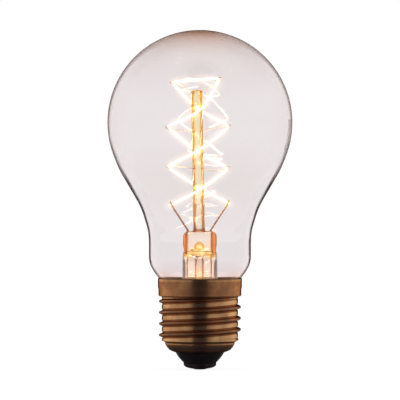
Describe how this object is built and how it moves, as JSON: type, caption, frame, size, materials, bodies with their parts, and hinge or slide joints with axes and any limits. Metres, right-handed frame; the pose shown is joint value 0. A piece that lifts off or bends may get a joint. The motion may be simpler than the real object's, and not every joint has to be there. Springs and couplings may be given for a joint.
{
  "type": "filament bulb",
  "caption": "Clear pear-shaped filament bulb: glass envelope on a brass screw cap, with a stem, rod and wire supports that hold a crossed zigzag filament.",
  "frame": {"origin": "tip of the centre contact, on the bulb's axis", "axes": "+Z along the bulb's axis from the contact up to the crown; +X to the right and -Y towards the picture's camera, so the two lead wires lie in the XZ plane"},
  "size_m": [0.0596, 0.0596, 0.1097],
  "materials": {
    "clear_glass": "clear, glossy, very faint warm grey tint",
    "stem_glass": "clear, glossy, lit amber by the filament",
    "rod_glass": "clear, glossy, lit amber by the filament",
    "support_wire": "fine drawn wire, dull",
    "filament_wire": "tightly coiled wire, glowing warm white",
    "lead_wire": "drawn wire, warm brown in the glow",
    "seal_wire": "red-brown coated wire sealed in glass",
    "copper_wire": "drawn copper, slightly dull",
    "fuse_wire": "thin bright wire",
    "cement": "matt, gritty, baked cement",
    "cap_brass": "antique satin brass, brown in the hollows",
    "insulator_glass": "black glass, glossy",
    "contact_metal": "dull tinned brass, grey",
    "solder": "soft solder, dull grey with a smooth skin"
  },
  "bodies": {
    "root": {"glass_envelope": "clear_glass", "stem": "stem_glass", "exhaust_tube": "stem_glass", "arbor_rod": "rod_glass", "support_low_left": "support_wire", "support_low_right": "support_wire", "support_mid_left": "support_wire", "support_mid_right": "support_wire", "support_top_left": "support_wire", "support_top_right": "support_wire", "filament": "filament_wire", "inner_lead_left": "lead_wire", "inner_lead_right": "lead_wire", "seal_wire_left": "seal_wire", "seal_wire_right": "seal_wire", "centre_lead_upper": "copper_wire", "fuse_link": "fuse_wire", "centre_lead_lower": "copper_wire", "side_lead": "copper_wire", "cap_cement": "cement", "screw_shell": "cap_brass", "cap_insulator": "insulator_glass", "centre_contact": "contact_metal", "centre_solder": "solder", "side_solder": "solder"}
  },
  "joints": []
}
